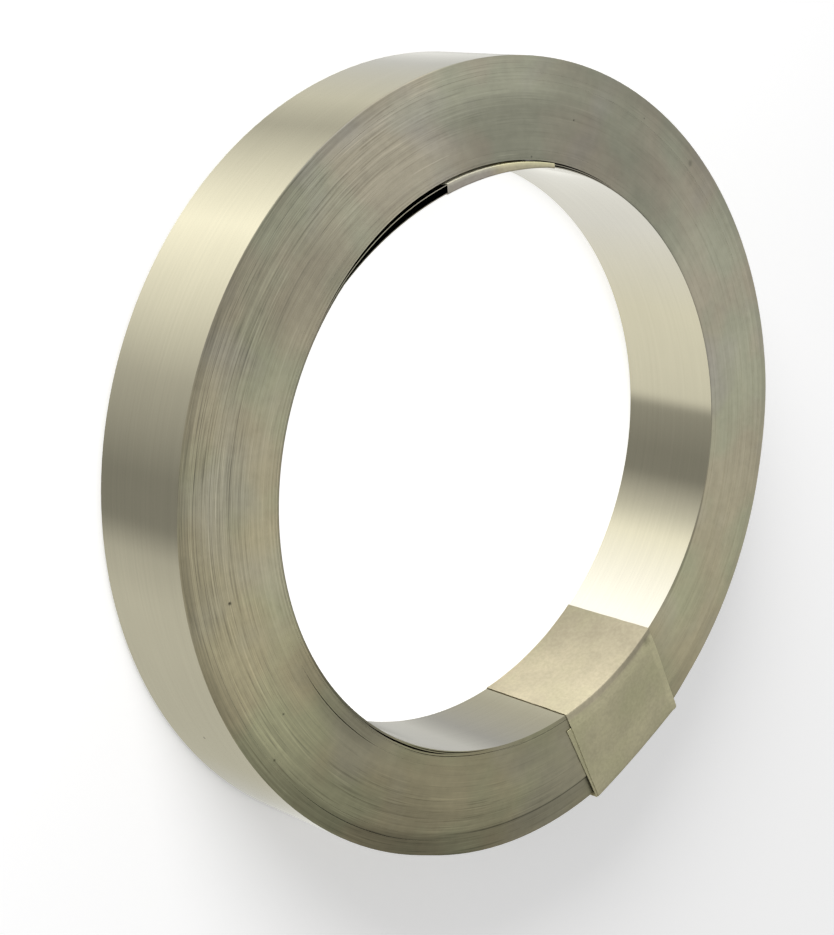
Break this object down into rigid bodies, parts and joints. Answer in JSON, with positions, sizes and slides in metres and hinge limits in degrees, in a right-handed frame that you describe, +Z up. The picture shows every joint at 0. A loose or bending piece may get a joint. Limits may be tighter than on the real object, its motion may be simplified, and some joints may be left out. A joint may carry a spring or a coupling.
{
  "type": "coil of nickel-plated strip",
  "caption": "Coil of narrow plated steel strip wound round an open bore, lying on its end and held by masking tape",
  "frame": {"origin": "Middle of the coil's foot: on the floor, on the axis of the bore", "axes": "+Z up, along the coil's axis, out of the front end that the picture shows. +Y is the side that is at the top in the picture"},
  "size_m": [0.1354, 0.1354, 0.023],
  "materials": {
    "plated_strip": "bright nickel plate, rolled strip with its slit edges showing on the ends",
    "tape": "matt creped paper masking tape"
  },
  "bodies": {
    "root": {"strip_coil": "plated_strip", "masking_tape": "tape", "bore_tape": "tape"}
  },
  "joints": []
}
